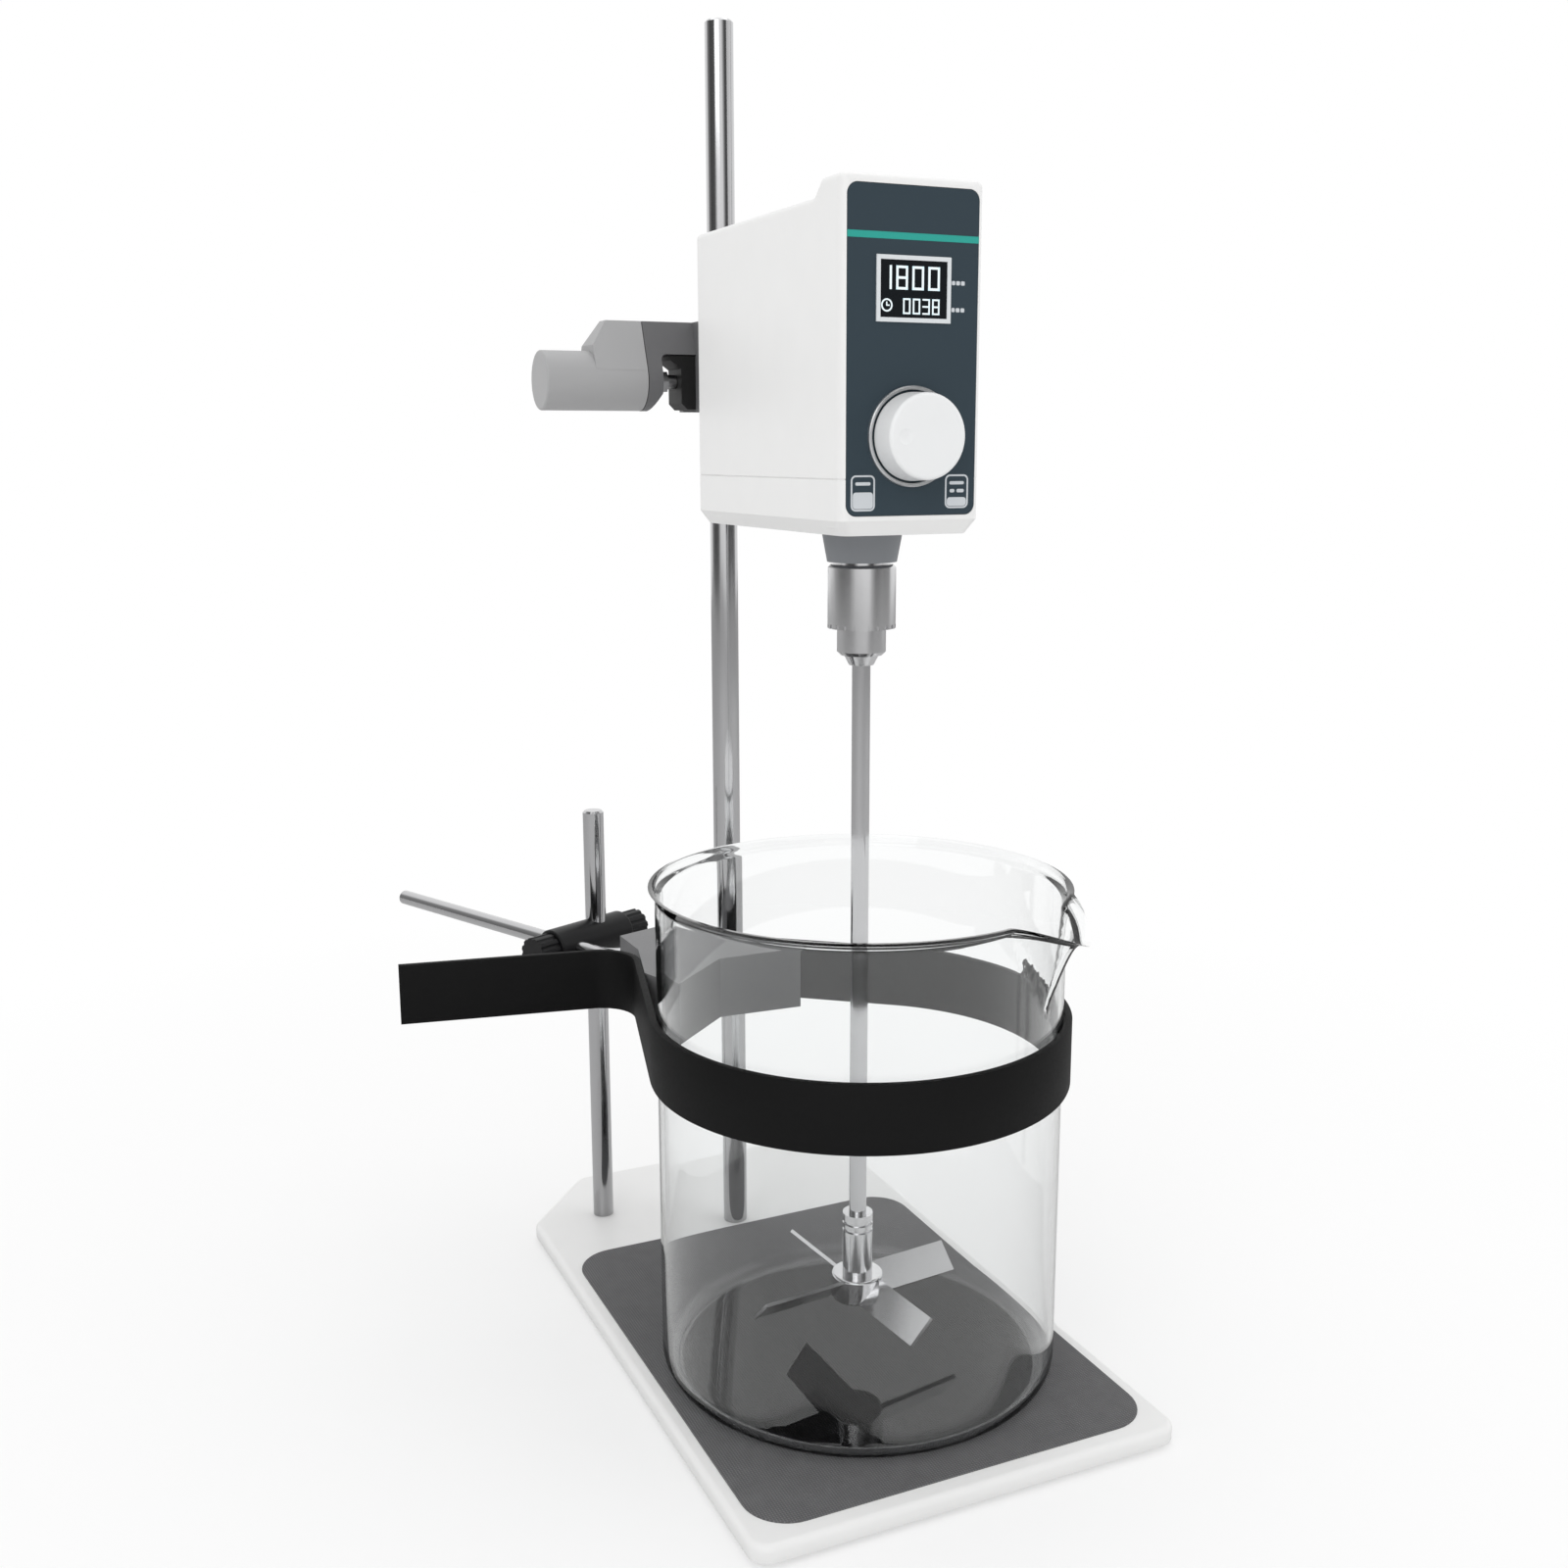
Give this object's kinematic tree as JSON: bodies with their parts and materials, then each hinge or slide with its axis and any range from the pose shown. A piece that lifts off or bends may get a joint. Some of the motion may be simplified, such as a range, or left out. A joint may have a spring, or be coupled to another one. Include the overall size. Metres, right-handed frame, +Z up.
{
  "type": "overhead stirrer",
  "caption": "Overhead laboratory stirrer on a plate stand with a rod clamp, chuck, four-blade impeller and a beaker held by a strap clamp.",
  "frame": {"origin": "the point of the bench under the main rod's axis", "axes": "+X to the right of a person facing the panel, +Y from the front towards the back, +Z up along the main rod"},
  "size_m": [0.2805, 0.4275, 0.632],
  "materials": {
    "base_paint": "satin",
    "mat_rubber": "woven",
    "foot_rubber": "matte",
    "polished_steel": "polished",
    "screw_steel": "satin",
    "beaker_glass": "clear",
    "liner_black": "matte",
    "clamp_grey": "painted",
    "lever_grey": "matte",
    "housing_white": "satin",
    "panel_blue": "satin",
    "stripe_teal": "satin",
    "display_border": "satin",
    "display_black": "gloss",
    "ring_chrome": "polished",
    "knob_white": "satin",
    "board_green": "matte",
    "encoder_black": "matte",
    "mount_aluminium": "milled",
    "motor_iron": "matte",
    "bearing_steel": "ground",
    "boss_grey": "satin",
    "chuck_steel": "turned",
    "switch_black": "satin",
    "strap_rubber": "matte",
    "bracket_grey": "cast",
    "boss_black": "satin",
    "thumb_black": "satin"
  },
  "bodies": {
    "stand": {"base_plate": "base_paint", "base_mat": "mat_rubber", "rubber_feet": "foot_rubber", "main_rod": "polished_steel", "support_rod": "polished_steel", "rod_screws": "screw_steel", "beaker": "beaker_glass"},
    "liner": {"rod_liner": "liner_black"},
    "head": {"clamp_body": "clamp_grey", "clamp_nut": "screw_steel", "mounting_rod": "polished_steel", "mounting_flange": "clamp_grey", "flange_screws": "screw_steel", "housing_shell": "housing_white", "housing_base": "housing_white", "housing_screws": "screw_steel", "front_panel": "panel_blue", "accent_stripe": "stripe_teal", "display_frame": "display_border", "display_screen": "display_black", "knob_ring": "ring_chrome", "encoder_body": "encoder_black", "control_board": "board_green", "motor_mount": "mount_aluminium", "motor_screws": "screw_steel", "motor_stator": "motor_iron", "motor_cap": "mount_aluminium", "lower_bearing": "bearing_steel", "upper_bearing": "bearing_steel", "spindle_boss": "boss_grey", "switch_frame": "switch_black", "power_jack": "encoder_black"},
    "jaw": {"clamp_jaw": "liner_black"},
    "clamp_knob": {"clamp_lever_knob": "lever_grey", "clamp_screw": "screw_steel"},
    "spindle": {"spindle_tube": "chuck_steel", "motor_rotor": "motor_iron", "chuck_body": "chuck_steel"},
    "sleeve": {"chuck_sleeve": "chuck_steel"},
    "collet": {"chuck_jaws": "chuck_steel"},
    "stirrer": {"stir_shaft": "polished_steel", "impeller_hub": "chuck_steel", "impeller_blades": "chuck_steel", "hub_set_screw": "screw_steel"},
    "encoder": {"encoder_shaft": "screw_steel"},
    "knob": {"speed_knob": "knob_white"},
    "rocker": {"switch_rocker": "switch_black"},
    "vessel_clamp": {"strap": "strap_rubber", "strap_bracket": "bracket_grey", "clamp_rod": "polished_steel", "boss_head": "boss_black"},
    "support_thumb": {"support_thumbscrew": "thumb_black"},
    "rod_thumb": {"rod_thumbscrew": "thumb_black"}
  },
  "joints": [
    {"name": "head_height", "type": "slide", "parent": "stand", "child": "liner", "axis": [0, 0, 1], "range_m": [-0.014, 0.13]},
    {"name": "head_swing", "type": "hinge", "parent": "liner", "child": "head", "pos_m": [0, 0, 0.462], "axis": [0, 0, 1], "range_deg": [-12, 12]},
    {"name": "jaw_travel", "type": "slide", "parent": "head", "child": "jaw", "axis": [-1, 0, 0], "range_m": [0, 0.00125]},
    {"name": "clamp_knob_turn", "type": "hinge", "parent": "jaw", "child": "clamp_knob", "pos_m": [-0.07, 0, 0.462], "axis": [-1, 0, 0], "range_deg": [0, 360]},
    {"name": "spindle_spin", "type": "hinge", "parent": "head", "child": "spindle", "pos_m": [0, -0.155, 0.4], "axis": [0, 0, 1], "continuous": true},
    {"name": "chuck_sleeve_turn", "type": "hinge", "parent": "spindle", "child": "sleeve", "pos_m": [0, -0.155, 0.367], "axis": [0, 0, 1], "range_deg": [0, 90]},
    {"name": "collet_travel", "type": "slide", "parent": "spindle", "child": "collet", "axis": [0, 0, 1], "range_m": [0, 0.001]},
    {"name": "shaft_reach", "type": "slide", "parent": "spindle", "child": "stirrer", "axis": [0, 0, 1], "range_m": [-0.008, 0.04]},
    {"name": "speed_knob_turn", "type": "hinge", "parent": "head", "child": "encoder", "pos_m": [0, -0.198, 0.434], "axis": [0, -1, 0], "continuous": true},
    {"name": "speed_knob_push", "type": "slide", "parent": "encoder", "child": "knob", "axis": [0, 1, 0], "range_m": [0, 0.0006], "stiffness_N_per_m": 800, "springref_m": -0.001},
    {"name": "power_switch", "type": "hinge", "parent": "head", "child": "rocker", "pos_m": [0.016, -0.046, 0.434], "axis": [1, 0, 0], "range_deg": [-16, 0]},
    {"name": "vessel_clamp_height", "type": "slide", "parent": "stand", "child": "vessel_clamp", "axis": [0, 0, 1], "range_m": [-0.1, 0.01]},
    {"name": "support_thumb_turn", "type": "hinge", "parent": "vessel_clamp", "child": "support_thumb", "pos_m": [-0.04016, 0.04417, 0.171], "axis": [0.9135, 0.4067, 0], "range_deg": [0, 90]},
    {"name": "rod_thumb_turn", "type": "hinge", "parent": "vessel_clamp", "child": "rod_thumb", "pos_m": [-0.09954, 0.01773, 0.171], "axis": [-0.9135, -0.4067, 0], "range_deg": [0, 90]}
  ],
  "couplings": [
    {"joint": "jaw_travel", "follows": "clamp_knob_turn", "m_per_rad": 0.00019894},
    {"joint": "collet_travel", "follows": "chuck_sleeve_turn", "m_per_rad": 0.00063662}
  ]
}
